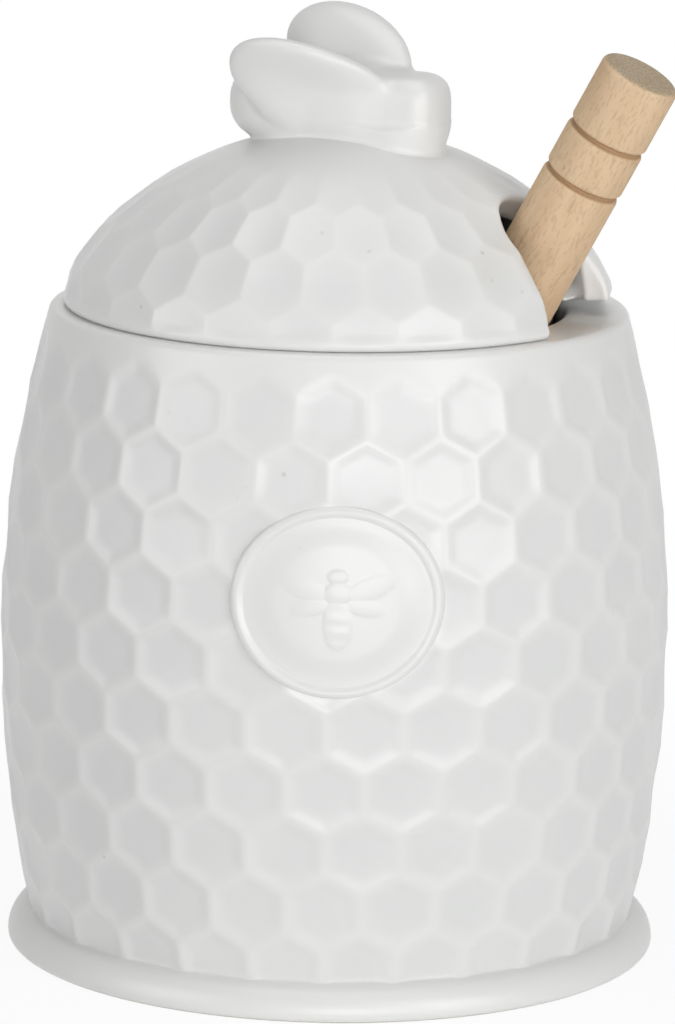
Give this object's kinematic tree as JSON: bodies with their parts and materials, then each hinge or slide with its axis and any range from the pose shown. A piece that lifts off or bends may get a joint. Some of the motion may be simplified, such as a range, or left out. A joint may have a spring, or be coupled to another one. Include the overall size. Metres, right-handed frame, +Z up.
{
  "type": "honey pot with lift-off lid and dipper",
  "caption": "Round barrel-shaped pot with honeycomb walls, a domed lift-off lid with a bee knob and a notch, and a turned wooden dipper that leans out through the notch.",
  "frame": {"origin": "centre of the foot's underside, on the table", "axes": "+Z up along the pot's axis; -Y is the front, with the medallion; +X to the right seen from the front"},
  "size_m": [0.1002, 0.1009, 0.1407],
  "materials": {
    "pot_glaze": "clear gloss glaze over white stoneware",
    "lid_glaze": "clear gloss glaze over white stoneware",
    "beech": "fine sanded and unvarnished"
  },
  "bodies": {
    "pot_base": {"pot": "pot_glaze", "medallion": "pot_glaze"},
    "lid_with_knob": {"lid": "lid_glaze", "knob_body": "lid_glaze", "knob_wing_left": "lid_glaze", "knob_wing_right": "lid_glaze"},
    "dipper_stick": {"dipper": "beech"}
  },
  "joints": [
    {"name": "lid_lift", "type": "slide", "parent": "pot_base", "child": "lid_with_knob", "axis": [0, 0, 1], "range_m": [0, 0.06]},
    {"name": "dipper_pull", "type": "slide", "parent": "pot_base", "child": "dipper_stick", "axis": [0.4356, -0.2031, 0.8769], "range_m": [0, 0.04]}
  ]
}
